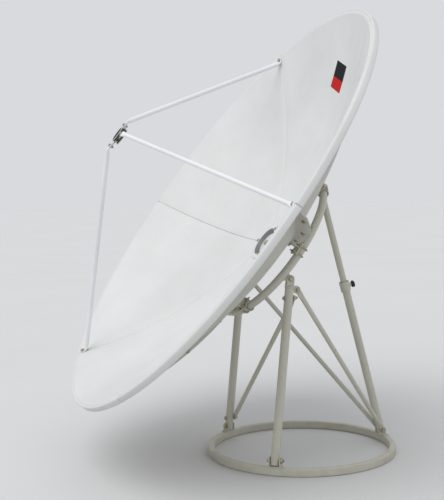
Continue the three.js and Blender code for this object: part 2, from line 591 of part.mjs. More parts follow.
const strutShape = feedStrut();
const strutBoltShape = leanToBowl(bolt(8, STRUT_BOLT.radius)
  .rotateY(Math.PI / 2).translate(STRUT_BOLT.place, 0, TAB_LIFT));
const feedBoltShape = bolt(8.4, 3)
  .rotateY(Math.PI / 2).translate(EAR.bolt, 0, feedEarZ + 2.3);
STRUT_SEAMS.forEach((seam, i) => {
  const turn = seam * SEAM_ANGLE * DEG;
  add(reflector, `feed_strut_${i + 1}`, strutShape, STRUT_PAINT).rotation.z = turn;
  add(reflector, `strut_foot_bolt_${i + 1}`, strutBoltShape, ZINC).rotation.z = turn;
  add(reflector, `feed_ring_bolt_${i + 1}`, feedBoltShape, ZINC).rotation.z = turn;
});

// ---- origin ----------------------------------------------------------------------------------
const part = new THREE.Group();
part.add(dish);
part.updateMatrixWorld(true);
const extent = new THREE.Box3().setFromObject(part, true);
const middle = extent.getCenter(new THREE.Vector3());
dish.position.set(-middle.x, -middle.y, -extent.min.z);

export default part;
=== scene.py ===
"""Looks of the satellite dish: smooth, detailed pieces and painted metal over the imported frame.

Lengths are in millimetres until a piece is made. Each shape is built in a local frame, such as the
reflector's (vertex at the origin, +Z to the focus, +Y up the dish), and placed with a matrix.
"""
import math

import bmesh
import bpy
from mathutils import Matrix, Vector


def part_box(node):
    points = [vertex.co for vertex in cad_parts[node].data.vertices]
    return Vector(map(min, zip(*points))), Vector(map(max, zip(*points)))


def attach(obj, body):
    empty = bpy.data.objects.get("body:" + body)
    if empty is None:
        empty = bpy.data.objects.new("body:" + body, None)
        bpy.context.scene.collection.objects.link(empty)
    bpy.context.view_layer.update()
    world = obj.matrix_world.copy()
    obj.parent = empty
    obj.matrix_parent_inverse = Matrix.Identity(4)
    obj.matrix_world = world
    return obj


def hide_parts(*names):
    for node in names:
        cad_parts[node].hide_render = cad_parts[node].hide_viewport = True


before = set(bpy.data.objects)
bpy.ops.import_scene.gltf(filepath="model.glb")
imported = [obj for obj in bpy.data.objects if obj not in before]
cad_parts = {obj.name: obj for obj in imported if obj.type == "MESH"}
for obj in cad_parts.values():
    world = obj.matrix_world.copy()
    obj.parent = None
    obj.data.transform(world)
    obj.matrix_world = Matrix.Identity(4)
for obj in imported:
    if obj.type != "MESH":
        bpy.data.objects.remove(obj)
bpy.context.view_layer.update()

MM = 0.001
X, Y, Z = Vector((1, 0, 0)), Vector((0, 1, 0)), Vector((0, 0, 1))
TAU = 2 * math.pi

# ---- the object's dimensions, as its solids have them ------------------------------------------
ring_low, ring_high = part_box("base_ring")
STAND = Matrix.Translation((0, (ring_low.y + ring_high.y) / 2 / MM, 0))
ELEVATION = 36.3
VERTEX = (0, -137, 830)
REFLECTOR = STAND @ Matrix.Translation(VERTEX) @ Matrix.Rotation(
    math.radians(90 - ELEVATION), 4, "X")
TO_REFLECTOR = REFLECTOR.inverted() @ STAND
FOCAL_LENGTH = 720
SHEET = 1.2
SEAM_GAP = 0.5
HUB_OPENING = 60
HUB_PLATE_RADIUS = 78
RING_RADIUS, RING_TUBE, RING_Z = 300, 14.5, -35
BASE_INNER, BASE_OUTER, BASE_HEIGHT = 345, 369, 30
TILT_AXIS = Vector((280, -142, 710))
FRONT_FOOT = Vector((283, -212, 54))
REAR_FOOT = Vector((0, 345, 54))
REAR_TOP = Vector((0, 99, 1024))
LEG_RADIUS, LEG_FOOT, LEG_TOP = 16, 38, 678
CLAMP_HEIGHT = 606
SIDES = (("left", -1), ("right", 1))


def bowl(r):
    """The reflector's depth at a radius."""
    return r * r / (4 * FOCAL_LENGTH)


def turn(degrees, axis="Z"):
    return Matrix.Rotation(math.radians(degrees), 4, axis)


def move(x, y, z):
    return Matrix.Translation((x, y, z))


def aimed(at, direction):
    """Turns +Z to a direction and the origin to a point."""
    return Matrix.Translation(at) @ Z.rotation_difference(Vector(direction)).to_matrix().to_4x4()


# ---- solids: each returns (corners, faces) -----------------------------------------------------
def lathe(outline, steps=48):
    """An outline of (radius, z) turned about Z. It closes on itself unless it ends on the axis."""
    verts, rings = [], []
    for r, z in outline:
        if r < 1e-6:
            rings.append([len(verts)])
            verts.append((0, 0, z))
            continue
        rings.append(list(range(len(verts), len(verts) + steps)))
        verts += [(r * math.cos(TAU * k / steps), r * math.sin(TAU * k / steps), z)
                  for k in range(steps)]
    faces = []
    for a, b in zip(rings, rings[1:] + rings[:1]):
        if len(a) == len(b) == 1:
            continue
        for k in range(steps):
            quad = [a[k % len(a)], b[k % len(b)], b[(k + 1) % len(b)], a[(k + 1) % len(a)]]
            faces.append(list(dict.fromkeys(quad)))
    return verts, faces


def sweep(path, width_axis, sizes, sides=16, closed=False):
    """A bar along a path. sizes gives its half width, half thickness and squareness by point."""
    verts, count = [], len(path)
    for i, p in enumerate(path):
        after = path[(i + 1) % count] if closed else path[min(i + 1, count - 1)]
        before = path[i - 1] if closed else path[max(i - 1, 0)]
        tangent = (after - before).normalized()
        width = (width_axis - tangent * width_axis.dot(tangent)).normalized()
        thick = tangent.cross(width)
        half_width, half_thick, square = sizes[i]
        for k in range(sides):
            c, s = math.cos(TAU * (k + 0.5) / sides), math.sin(TAU * (k + 0.5) / sides)
            u = math.copysign(abs(c) ** (2 / square), c)
            v = math.copysign(abs(s) ** (2 / square), s)
            verts.append(p + width * half_width * u + thick * half_thick * v)
    faces = []
    for i in range(count if closed else count - 1):
        a, b = i * sides, (i + 1) % count * sides
        faces += [[a + k, a + (k + 1) % sides, b + (k + 1) % sides, b + k] for k in range(sides)]
    if not closed:
        faces += [list(range(sides)), list(range((count - 1) * sides, count * sides))]
    return verts, faces


def best_side(path):
    """The axis that a path keeps clear of most."""
    return min((X, Y, Z), key=lambda axis: max(
        abs((b - a).normalized().dot(axis)) for a, b in zip(path, path[1:])))


def tube(start, end, radius, wall):
    """A straight open tube with eased edges."""
    length = (end - start).length
    inner, ease = radius - wall, min(0.6, wall / 3)
    outline = [(inner, ease), (inner + ease, 0), (radius - ease, 0), (radius, ease),
               (radius, length - ease), (radius - ease, length), (inner + ease, length),
               (inner, length - ease)]
    verts, faces = lathe(outline, 32)
    place = aimed(start, end - start)
    return [place @ Vector(v) for v in verts], faces


def rounded(points, radius):
    """A polyline with its corners eased."""
    path, steps = [points[0]], 8
    for a, b, c in zip(points, points[1:], points[2:]):
        u, v = (a - b).normalized(), (c - b).normalized()
        reach = radius / math.tan(u.angle(v) / 2)
        for k in range(steps + 1):
            t = k / steps
            path.append((b + u * reach) * (1 - t) ** 2 + b * 2 * t * (1 - t)
                        + (b + v * reach) * t * t)
    return path + [points[-1]]


def resampled(path, distances):
    """The points of a path at some distances from its start."""
    lengths = [0.0]
    for a, b in zip(path, path[1:]):
        lengths.append(lengths[-1] + (b - a).length)
    result, i = [], 0
    for d in distances:
        while i < len(path) - 2 and lengths[i + 1] < d:
            i += 1
        share = (d - lengths[i]) / (lengths[i + 1] - lengths[i])
        result.append(path[i].lerp(path[i + 1], min(max(share, 0), 1)))
    return result


def length_of(path):
    return sum((b - a).length for a, b in zip(path, path[1:]))


def flattened(corners, width_axis, tab_width, tab_length, half_width, half_thick, bend=16):
    """A tube with both ends pressed into flat tabs with round ends, eased over a taper."""
    half_tab, taper, tab_square, round_square = 2, 34, 7, 2
    path = rounded(corners, bend)
    total = length_of(path)
    near = [0.15, 0.6, 1.4, 2.6, 4.2, 6.5, 9.5] + [12 + 3 * k for k in range(20)]
    middle = [near[-1] + (total - 2 * near[-1]) * k / 8 for k in range(1, 8)]
    distances = near + middle + [total - d for d in reversed(near)]
    sizes = []
    for d in distances:
        d = min(d, total - d)
        half = tab_width / 2
        if d < half:
            half = math.sqrt(half * half - (half - d) ** 2)
        blend = min(max((d - tab_length) / taper, 0), 1)
        blend = blend * blend * (3 - 2 * blend)
        sizes.append((half + (half_width - half) * blend,
                      half_tab + (half_thick - half_tab) * blend,
                      tab_square + (round_square - tab_square) * blend))
    return sweep(resampled(path, distances), width_axis, sizes, 20)


def plate(outline, thickness, hole=None):
    """A flat plate in XY, centred on its thickness, with a hole or without one."""
    half, verts, faces = thickness / 2, [], []
    if hole is None:
        count = len(outline)
        for z in (-half, half):
            verts += [(x, y, z) for x, y in outline]
        faces = [list(range(count)), list(range(count, 2 * count))]
        faces += [[k, (k + 1) % count, count + (k + 1) % count, count + k] for k in range(count)]
        return verts, faces
    middle = Vector([sum(p[i] for p in hole) / len(hole) for i in (0, 1)])
    rays = sorted({round(math.atan2(p[1] - middle.y, p[0] - middle.x), 4)
                   for p in list(outline) + list(hole)})
    for loop in (outline, hole):
        for z in (-half, half):
            for angle in rays:
                x, y = _edge_point(loop, middle, angle)
                verts.append((x, y, z))
    count = len(rays)
    outer_low, outer_high, hole_low, hole_high = (i * count for i in range(4))
    for a, b in ((outer_low, outer_high), (outer_high, hole_high), (hole_high, hole_low),
                 (hole_low, outer_low)):
        faces += [[a + k, a + (k + 1) % count, b + (k + 1) % count, b + k] for k in range(count)]
    return verts, faces


def _edge_point(loop, middle, angle):
    """Where a ray from the middle leaves a loop."""
    ray = Vector((math.cos(angle), math.sin(angle)))
    best = None
    for (x0, y0), (x1, y1) in zip(loop, list(loop[1:]) + [loop[0]]):
        edge = Vector((x1 - x0, y1 - y0))
        start = Vector((x0, y0)) - middle
        cross = ray.x * edge.y - ray.y * edge.x
        if abs(cross) < 1e-9:
            continue
        reach = (start.x * edge.y - start.y * edge.x) / cross
        share = (start.x * ray.y - start.y * ray.x) / cross
        if reach > 0 and -1e-4 <= share <= 1 + 1e-4 and (best is None or reach > best):
            best = reach
    return middle + ray * best


def arc(u, v, radius, start, end, steps=10):
    """Points of an arc round (u, v) between two angles in degrees."""
    return [(u + radius * math.cos(math.radians(start + (end - start) * k / steps)),
             v + radius * math.sin(math.radians(start + (end - start) * k / steps)))
            for k in range(steps + 1)]


def box(size, centre):
    half = Vector(size) / 2
    outline = [(-half.x, -half.y), (half.x, -half.y), (half.x, half.y), (-half.x, half.y)]
    verts, faces = plate(outline, size[2])
    return [Vector(v) + Vector(centre) for v in verts], faces


class Shape:
    """Solids gathered into one piece."""

    def __init__(self, *parts):
        self.verts, self.faces = [], []
        for part in parts:
            self.add(*part)

    def add(self, solid, place=Matrix.Identity(4)):
        verts, faces = (solid.verts, solid.faces) if isinstance(solid, Shape) else solid
        start = len(self.verts)
        self.verts += [place @ Vector(v) for v in verts]
        self.faces += [[start + i for i in face] for face in faces]
        return self


# A nut's half width across its corners, as a multiple of the bolt's radius.
NUT_WIDTH = 1.85


def bolt(grip, radius, tail=5):
    """A hexagon bolt along Z with washers, a nut and threads past the nut, its grip about zero."""
    wide, head, half, washer_thickness = radius * NUT_WIDTH, radius * 1.3, grip / 2, 1.1
    washer = [(radius, 0), (wide * 1.22, 0), (wide * 1.22, washer_thickness),
              (radius, washer_thickness)]
    hexagon = [(0, 0), (wide * 0.96, 0), (wide, 0.3), (wide, head * 0.78), (wide * 0.86, head),
               (0, head)]
    pitch = radius * 0.28
    turns = int((head + tail) / pitch)
    threads = [(0, 0)]
    for k in range(turns):
        threads += [(radius * 0.84, k * pitch), (radius * 0.97, (k + 0.5) * pitch)]
    threads += [(radius * 0.7, turns * pitch), (0, turns * pitch)]
    face = move(0, 0, half)
    seat = move(0, 0, half + washer_thickness)
    flip = turn(180, "X")
    shape = Shape((lathe(washer, 20), face), (lathe(hexagon, 6), seat))
    shape.add(lathe(washer, 20), flip @ face)
    shape.add(lathe(hexagon, 6), flip @ seat @ turn(11))
    shape.add(lathe([(0, -half), (radius * 0.95, -half), (radius * 0.95, half), (0, half)], 16))
    shape.add(lathe(threads, 14), flip @ seat)
    return shape


def weld(path, radius=2.0, closed=True):
    """A rippled weld bead along a path."""
    step = 2.2
    total = length_of(path + path[:1]) if closed else length_of(path)
    count = max(int(total / step), 6)
    loop = path + path[:1] if closed else path
    points = resampled(loop, [total * k / count for k in range(count if closed else count + 1)])
    sizes = [(radius * (1 + 0.16 * math.sin(2.1 * k)),
              radius * (1 + 0.12 * math.sin(2.1 * k + 1)), 2) for k in range(len(points))]
    return sweep(points, best_side(points), sizes, 8, closed)


def circle(radius, z=0, steps=48):
    """Points of a circle round Z, for a weld."""
    return [Vector((radius * math.cos(TAU * k / steps), radius * math.sin(TAU * k / steps), z))
            for k in range(steps)]


def piece(name, shape, material, body, nodes=(), smooth=32, bevel=0.0):
    """Makes a Blender object from a shape in millimetres and sets it on its body."""
    mesh = bpy.data.meshes.new(name)
    mesh.from_pydata([v * MM for v in shape.verts], [], shape.faces)
    edit = bmesh.new()
    edit.from_mesh(mesh)
    bmesh.ops.recalc_face_normals(edit, faces=edit.faces)
    edit.to_mesh(mesh)
    edit.free()
    mesh.polygons.foreach_set("use_smooth", [True] * len(mesh.polygons))
    mesh.set_sharp_from_angle(angle=math.radians(smooth))
    mesh.materials.append(material)
    obj = bpy.data.objects.new(name, mesh)
    bpy.context.scene.collection.objects.link(obj)
    if bevel:
        edge = obj.modifiers.new("eased edges", "BEVEL")
        edge.width, edge.segments, edge.limit_method = bevel * MM, 2, "ANGLE"
        edge.angle_limit, edge.harden_normals = math.radians(40), True
    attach(obj, body)
    if nodes:
        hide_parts(*nodes)
    return obj


# ---- materials ---------------------------------------------------------------------------------
class Nodes:
    """A material's node tree, with its Principled shader and object coordinates."""

    def __init__(self, name, slot):
        self.material = bpy.data.materials.new(name)
        self.material.use_nodes = True
        self.material["slot"] = slot
        self.tree = self.material.node_tree
        self.shader = self.tree.nodes["Principled BSDF"]
        self.place = self.tree.nodes.new("ShaderNodeTexCoord").outputs["Object"]

    def new(self, kind, **values):
        node = self.tree.nodes.new(kind)
        for key, value in values.items():
            if key in node.inputs:
                node.inputs[key].default_value = value
            else:
                setattr(node, key, value)
        return node

    def link(self, output, target):
        self.tree.links.new(output, target)

    def noise(self, scale, detail=3.0, roughness=0.55):
        node = self.new("ShaderNodeTexNoise", Scale=scale, Detail=detail, Roughness=roughness)
        self.link(self.place, node.inputs["Vector"])
        return node.outputs["Fac"]

    def spread(self, value, low, high, to_low=0.0, to_high=1.0):
        """The value's stretch from low to high, mapped to another range."""
        node = self.new("ShaderNodeMapRange")
        for socket, number in zip(("From Min", "From Max", "To Min", "To Max"),
                                  (low, high, to_low, to_high)):
            node.inputs[socket].default_value = number
        self.link(value, node.inputs["Value"])
        return node.outputs["Result"]

    def mix(self, share, first, second):
        """Mixes two colours, each a colour or a node's output."""
        node = self.new("ShaderNodeMix", data_type="RGBA")
        for socket, value in (("A", first), ("B", second)):
            target = [i for i in node.inputs if i.name == socket and i.type == "RGBA"][0]
            if isinstance(value, tuple):
                target.default_value = (*value, 1)
            else:
                self.link(value, target)
        self.link(share, node.inputs["Factor"])
        return [o for o in node.outputs if o.type == "RGBA"][0]

    def times(self, a, b):
        """Multiplies two values, each a number or a node's output."""
        node = self.new("ShaderNodeMath", operation="MULTIPLY")
        for socket, value in zip(node.inputs, (a, b)):
            if isinstance(value, (int, float)):
                socket.default_value = value
            else:
                self.link(value, socket)
        return node.outputs["Value"]

    def bump(self, *layers):
        """Bumps, each a (height, strength, distance in metres), one over the other."""
        normal = None
        for height, strength, distance in layers:
            node = self.new("ShaderNodeBump", Strength=strength, Distance=distance)
            self.link(height, node.inputs["Height"])
            if normal:
                self.link(normal, node.inputs["Normal"])
            normal = node.outputs["Normal"]
        self.link(normal, self.shader.inputs["Normal"])


def powder_coat(name, slot, color, roughness, waviness=0.0, chips=0.0, dust=0.0, gloss=0.42):
    """Painted steel: orange peel and uneven tone, and if asked chipped spots and ground dust."""
    n = Nodes(name, slot)
    darker = tuple(c * 0.94 for c in color)
    lighter = tuple(min(c * 1.03, 1.0) for c in color)
    tone = n.mix(n.spread(n.noise(2.3, 5.0, 0.62), 0.36, 0.66), lighter, darker)
    stains = n.spread(n.noise(11.0, 6.0, 0.7), 0.56, 0.78, 0.0, 0.13)
    tone = n.mix(stains, tone, tuple(c * k for c, k in zip(color, (0.72, 0.70, 0.64))))
    specks = n.spread(n.noise(95.0, 2.0), 0.68, 0.74, 0.0, 0.22)
    tone = n.mix(specks, tone, tuple(c * 0.7 for c in color))
    layers = [(n.noise(260.0, 2.0), 0.12, 0.0004)]
    if waviness:
        layers.insert(0, (n.noise(5.5, 1.0, 0.4), waviness, 0.02))
    if chips:
        where = n.times(n.spread(n.noise(90.0, 3.0, 0.7), 0.66, 0.69),
                        n.spread(n.noise(7.0, 2.0), 0.5, 0.6))
        tone = n.mix(n.times(where, chips), tone, (0.16, 0.135, 0.11))
    if dust:
        split = n.new("ShaderNodeSeparateXYZ")
        n.link(n.place, split.inputs["Vector"])
        low = n.spread(split.outputs["Z"], 0.22, 0.0, 0.0, dust)
        uneven = n.spread(n.noise(26.0, 5.0, 0.65), 0.3, 0.7)
        tone = n.mix(n.times(low, uneven), tone, (0.40, 0.35, 0.27))
    n.link(tone, n.shader.inputs["Base Color"])
    n.link(n.spread(n.noise(14.0, 4.0), 0.3, 0.7, roughness - 0.07, roughness + 0.09),
           n.shader.inputs["Roughness"])
    n.shader.inputs["Specular IOR Level"].default_value = gloss
    n.bump(*layers)
    return n.material


def zinc_plate(name, color):
    """Zinc plating: fine crystals, a warm passivated tint and small dull spots."""
    n, roughness = Nodes(name, "zinc"), 0.38
    crystals = n.new("ShaderNodeTexVoronoi", Scale=420.0)
    n.link(n.place, crystals.inputs["Vector"])
    shade = n.spread(crystals.outputs["Distance"], 0.0, 0.8)
    tone = n.mix(shade, color, tuple(c * 0.72 for c in color))
    tone = n.mix(n.spread(n.noise(55.0, 4.0), 0.42, 0.62, 0.0, 0.45), tone,
                 (color[0] * 1.02, color[1] * 0.86, color[2] * 0.5))
    n.link(tone, n.shader.inputs["Base Color"])
    n.shader.inputs["Metallic"].default_value = 0.85
    n.link(n.spread(n.noise(120.0, 3.0), 0.3, 0.7, roughness - 0.1, roughness + 0.14),
           n.shader.inputs["Roughness"])
    n.bump((n.noise(300.0, 3.0), 0.25, 0.0003))
    return n.material


def moulded_plastic(name, color):
    """Black plastic with a fine moulded grain."""
    n = Nodes(name, "knob_plastic")
    tone = n.mix(n.spread(n.noise(70.0, 4.0), 0.35, 0.65), color, tuple(c * 1.9 for c in color))
    n.link(tone, n.shader.inputs["Base Color"])
    n.link(n.spread(n.noise(240.0, 3.0), 0.3, 0.7, 0.38, 0.58), n.shader.inputs["Roughness"])
    n.bump((n.noise(1500.0, 1.0), 0.3, 0.0002))
    return n.material


REFLECTOR_PAINT = powder_coat("reflector paint", "reflector_paint", (0.67, 0.68, 0.67), 0.46,
                              waviness=0.05)
# The petals' back is a darker beige than the front: painted shade for the back, which faces away
# from the light.
BACK_SHADE_PAINT = powder_coat("reflector back painted shade", "reflector_paint", (0.50, 0.495, 0.44), 0.5)
MOUNT_PAINT = powder_coat("mount paint", "mount_paint", (0.56, 0.552, 0.475), 0.5, chips=0.75,
                          dust=0.5)
STRUT_PAINT = powder_coat("strut paint", "strut_paint", (0.80, 0.81, 0.83), 0.4)
EAR_PAINT = powder_coat("feed ring paint", "strut_paint", (0.47, 0.49, 0.47), 0.45)
# The feed ring's band is near black: painted shade between the lips.
FEED_BAND_SHADE = powder_coat("feed band painted shade", "strut_paint", (0.055, 0.055, 0.05), 0.5)
ZINC = zinc_plate("zinc plate", (0.52, 0.49, 0.42))
# The hub's front cup is dark grey: painted shade inside the hub's recess.
HUB_CUP_SHADE = powder_coat("hub cup painted shade", "zinc", (0.17, 0.17, 0.17), 0.42)
LABEL_DARK = powder_coat("label, dark half", "reflector_paint", (0.03, 0.03, 0.035), 0.6,
                         gloss=0.0)
LABEL_RED = powder_coat("label, red half", "reflector_paint", (0.50, 0.03, 0.03), 0.6,
                        gloss=0.0)
KNOB = moulded_plastic("knob plastic", (0.012, 0.012, 0.013))

# ---- petals ------------------------------------------------------------------------------------
PETALS = 6
STRUT_SEAMS = (0, 2, 4)
SEAM_BEND, RIM_BEND = 3.0, 1.1
SEAM_BOLTS = (150, 420, 600, 760)
FLANGE_START, FLANGE_END = 95, 832
RIM_START = 874
RIM_GAP_START, RIM_GAP = 876, 1.5
RIM_PLANE = bowl(878) + 1
RIM = ((877, -1.3), (880, 0), (888.5, 0.2), (890, -1.0), (891.6, 0.2), (893.5, 1.2), (896.8, 1.0),
       (899, -0.7), (900, -3.5), (900, -12), (900, -20), (899.3, -22.4), (897.4, -24),
       (894.8, -23.4))
# How far the flanges reach behind the bowl, as (radius, depth): those with a strut are deeper.
PLAIN_RIB = ((90, 16), (200, 22), (FLANGE_END, 22))
STRUT_RIB = ((90, 16), (200, 22), (340, 26), (480, 40), (620, 50), (750, 54), (FLANGE_END, 44))


def seam_frame(i):
    """The frame of a seam: +X runs along it."""
    return REFLECTOR @ turn(360 / PETALS * i)


def seam_rib(i):
    return STRUT_RIB if i % PETALS in STRUT_SEAMS else PLAIN_RIB


def rib_depth(rib, r):
    """The depth of a seam's flanges at a radius."""
    for (near, low), (far, high) in zip(rib, rib[1:]):
        if r <= far:
            return low + (high - low) * (r - near) / (far - near)
    return rib[-1][1]


def petal_profile():
    """Points of (radius, z, bend radius, outward normal) from hub to rim."""
    radii = [HUB_OPENING, 74, 88, 93, 98] + [130 + 31 * k for k in range(23)]
    radii += [826, 836, 845, 860, RIM_START]
    points = [(r, bowl(r)) for r in radii] + [(r, RIM_PLANE + z) for r, z in RIM]
    profile = []
    for i, (r, z) in enumerate(points):
        before, after = points[max(i - 1, 0)], points[min(i + 1, len(points) - 1)]
        along = Vector((after[0] - before[0], after[1] - before[1])).normalized()
        out = Vector((-along.y, along.x)) if r > RIM_START else Vector((0, 1))
        profile.append((r, z, SEAM_BEND if r < 860 else RIM_BEND, out))
    return profile


def petal_edge(r, z, bend, out, rib):
    """The petal's flange and bend at one seam, along +X: from the flange's free edge inwards."""
    depth = rib_depth(rib, r) - bend if FLANGE_START < r < FLANGE_END else 0.8
    gap = SEAM_GAP / 2 if r < RIM_GAP_START else RIM_GAP
    edge = [(gap, bend + depth), (gap, bend + depth * 0.5)]
    edge += [(gap + bend * (1 - math.cos(a)), bend * (1 - math.sin(a)))
             for a in (0, math.pi / 6, math.pi / 3, math.pi / 2)]
    row = []
    for away, drop in edge:
        radius = r - out.x * drop
        row.append((math.sqrt(radius ** 2 - away ** 2), away, z - out.y * drop))
    return row, math.asin((gap + bend) / r)


def petal(start_rib, end_rib):
    """One petal's sheet, from the seam along +X to the next."""
    sector, inner_steps = TAU / PETALS, 18
    verts, columns = [], 0
    for r, z, bend, out in petal_profile():
        row, first = petal_edge(r, z, bend, out, start_rib)
        far, _ = petal_edge(r, z, bend, out, end_rib)
        for k in range(1, inner_steps):
            a = first + (sector - 2 * first) * k / inner_steps
            row.append((r * math.cos(a), r * math.sin(a), z))
        row += [turn(360 / PETALS) @ Vector((x, -y, h)) for x, y, h in reversed(far)]
        columns = len(row)
        verts += row
    rows = len(verts) // columns
    faces = [[i * columns + k, i * columns + k + 1, (i + 1) * columns + k + 1,
              (i + 1) * columns + k] for i in range(rows - 1) for k in range(columns - 1)]
    return verts, faces


def make_petals():
    for i in range(PETALS):
        sheet = petal(seam_rib(i), seam_rib(i + 1))
        obj = piece(f"petal_{i + 1}_sheet", Shape((sheet, seam_frame(i))), REFLECTOR_PAINT,
                    "reflector", [f"petal_{i + 1}"], smooth=50)
        # The sheet's normals must look into the dish, so that its thickness lies behind.
        middle = max(obj.data.polygons, key=lambda face: face.area)
        if middle.normal.dot(REFLECTOR.to_3x3() @ Z) < 0:
            obj.data.flip_normals()
        # The back faces and the sheet's edges take the darker beige, as painted shade.
        obj.data.materials.append(BACK_SHADE_PAINT)
        wall = obj.modifiers.new("sheet", "SOLIDIFY")
        wall.thickness, wall.offset, wall.material_offset = SHEET * MM, -1, 1


def make_seam_fixings():
    """Small bolts through each seam's flanges, and a splice inside the rim."""
    small = bolt(2 * SHEET + SEAM_GAP, 4, tail=3)
    for i in range(PETALS):
        place, shape = seam_frame(i), Shape()
        for r in SEAM_BOLTS:
            depth = SEAM_BEND + rib_depth(seam_rib(i), r) / 2
            shape.add(small, place @ move(r, 0, bowl(r) - depth) @ turn(90, "X"))
        piece(f"seam_bolts_{i + 1}", shape, ZINC, "reflector")
        splice = Shape((box((13, 46, 1.4), (888, 0, RIM_PLANE - 2.6)), place),
                       (box((1.4, 46, 15), (897.2, 0, RIM_PLANE - 12)), place))
        piece(f"rim_splice_{i + 1}", splice, MOUNT_PAINT, "reflector")


# ---- hub ---------------------------------------------------------------------------------------
def make_hub():
    """Two pressed cups, one in the other, with the petals' inner edges between their flanges."""
    edge = bowl(HUB_PLATE_RADIUS)
    cup = [(0, -11), (48, -11), (50.4, -10), (55.6, 0), (58, edge - 0.3), (60, edge + 0.3),
           (75, edge + 0.3), (75, edge + 1.9), (60, edge + 2), (56, edge + 0.8), (54.4, 1),
           (49.6, -8.6), (47, -9.6), (0, -9.6)]
    # The front cup is dark grey as painted shade in the recess.
    piece("hub_front_cup", Shape((lathe(cup, 72), REFLECTOR)), HUB_CUP_SHADE, "reflector",
          ["hub_plate_front"], smooth=50)
    ring = [(60, edge + 2.1), (76, edge + 1.4), (78, edge + 1.2), (78, edge + 2.2),
            (76.6, edge + 3.2), (61, edge + 3.6), (60, edge + 3.2)]
    floor = [(0, -9.5), (46, -9.5), (46, -8.8), (45.4, -8.4), (0, -8.4)]
    piece("hub_front_ring", Shape((lathe(ring, 72), REFLECTOR), (lathe(floor, 72), REFLECTOR)),
          REFLECTOR_PAINT, "reflector", smooth=50)
    back = [(0, -11.6), (51, -11.6), (57, -3.4), (60, -2.2), (86, -0.8), (86, -3.8), (62, -5.2),
            (59.5, -6.4), (54.6, -13.4), (52, -14.6), (0, -14.6)]
    piece("hub_rear_cup", Shape((lathe(back, 72), REFLECTOR)), MOUNT_PAINT, "reflector",
          ["hub_plate_rear"], smooth=50)
    shape = Shape((bolt(6.4, 6), REFLECTOR @ move(0, 0, -11.5)))
    for seam in STRUT_SEAMS:
        shape.add(bolt(8.8, 3, tail=3), seam_frame(seam + 1) @ move(69, 0, 0.9))
    piece("hub_bolts", shape, ZINC, "reflector", ["hub_bolt"])


# ---- mount ring --------------------------------------------------------------------------------
U_BOLT_RADIUS = 3
U_NUT_HEIGHT = 4.6


def standing(x=0.0):
    """Turns a plate's (u, v) to (Y, Z), at a place along X."""
    return Matrix(((0, 0, 1, x), (1, 0, 0, 0), (0, 1, 0, 0), (0, 0, 0, 1)))


def upright(y=0.0):
    """Turns a plate's (u, v) to (X, Z), at a place along Y."""
    return Matrix(((1, 0, 0, 0), (0, 0, 1, y), (0, 1, 0, 0), (0, 0, 0, 1)))


def make_mount_ring():
    tilt = TO_REFLECTOR @ TILT_AXIS
    section = [(RING_RADIUS + RING_TUBE * math.cos(TAU * k / 20),
                RING_Z + RING_TUBE * math.sin(TAU * k / 20)) for k in range(20)]
    shape = Shape((lathe(section, 144), REFLECTOR))
    at_tube = -math.sqrt(RING_RADIUS ** 2 - TILT_AXIS.x ** 2)
    lug = arc(tilt.y, tilt.z, 13, 180, 360, 16) + [(at_tube + 17, RING_Z), (at_tube - 17, RING_Z)]
    for _, side in SIDES:
        shape.add(plate(lug, 5), REFLECTOR @ standing(side * TILT_AXIS.x))
        for way in (-1, 1):
            seam = [REFLECTOR @ Vector((side * TILT_AXIS.x + way * 3, at_tube + y, RING_Z - 12.5))
                    for y in (-13, 0, 13)]
            shape.add(weld(seam, 2, closed=False))
    # The ring's ends meet in one welded joint.
    joint = [Vector((RING_RADIUS + (RING_TUBE + 0.2) * math.cos(TAU * k / 24), 0,
                     RING_Z + (RING_TUBE + 0.2) * math.sin(TAU * k / 24))) for k in range(24)]
    shape.add(weld([REFLECTOR @ turn(-90) @ p for p in joint], 1.6))
    piece("mount_ring_tube", shape, MOUNT_PAINT, "reflector", ["mount_ring"], bevel=0.5)


def u_bolt(reach, rise):
    """A U-bolt round a tube along Y. Its legs rise along +Z from the tube's middle."""
    path = [Vector((reach, 0, rise)), Vector((reach, 0, 0))]
    path += [Vector((reach * math.cos(a), 0, -reach * math.sin(a)))
             for a in (math.pi * k / 16 for k in range(1, 16))]
    path += [Vector((-reach, 0, 0)), Vector((-reach, 0, rise))]
    return sweep(path, Y, [(U_BOLT_RADIUS, U_BOLT_RADIUS, 2)] * len(path), 10)


def u_nut():
    """A nut on a U-bolt's leg, along +Z."""
    inner, wide, height = U_BOLT_RADIUS * 0.8, U_BOLT_RADIUS * NUT_WIDTH, U_NUT_HEIGHT
    return lathe([(inner, 0), (wide, 0), (wide, height * 0.85), (wide * 0.88, height),
                  (inner, height)], 6)


def make_ring_brackets():
    """Under each seam a saddle on the ring, with a web between the seam's flanges."""
    foot, web_place, u_reach = RING_TUBE + 0.4, 4.2, RING_TUBE + 3.2
    for i in range(PETALS):
        place = seam_frame(i) @ move(RING_RADIUS, 0, RING_Z)
        shape = Shape((box((54, 46, 4), (0, 0, foot + 2)), place))
        web = [(-19, foot + 3.5), (19, foot + 3.5), (30, bowl(330) - RING_Z - 8),
               (-25, bowl(275) - RING_Z - 8)]
        shape.add(plate(web, 4), place @ upright(web_place))
        for way in (-2.4, 2.4):
            seam = [place @ Vector((x, web_place + way, foot + 4.3)) for x in (-17, 0, 17)]
            shape.add(weld(seam, 1.8, closed=False))
        piece(f"ring_bracket_{i + 1}_saddle", shape, MOUNT_PAINT, "reflector",
              [f"ring_bracket_{i + 1}"], bevel=0.6)
        metal = Shape()
        for y in (-14, 14):
            metal.add(u_bolt(u_reach, foot + 15), place @ move(0, y, 0))
            for side in (-1, 1):
                metal.add(u_nut(), place @ move(side * u_reach, y, foot + 4.2))
        for r in (287, 316):
            at = seam_frame(i) @ move(r, 2.2, bowl(r) - 16) @ turn(90, "X")
            metal.add(bolt(8.4, 3.5, tail=4), at)
        piece(f"ring_bracket_{i + 1}_bolts", metal, ZINC, "reflector")


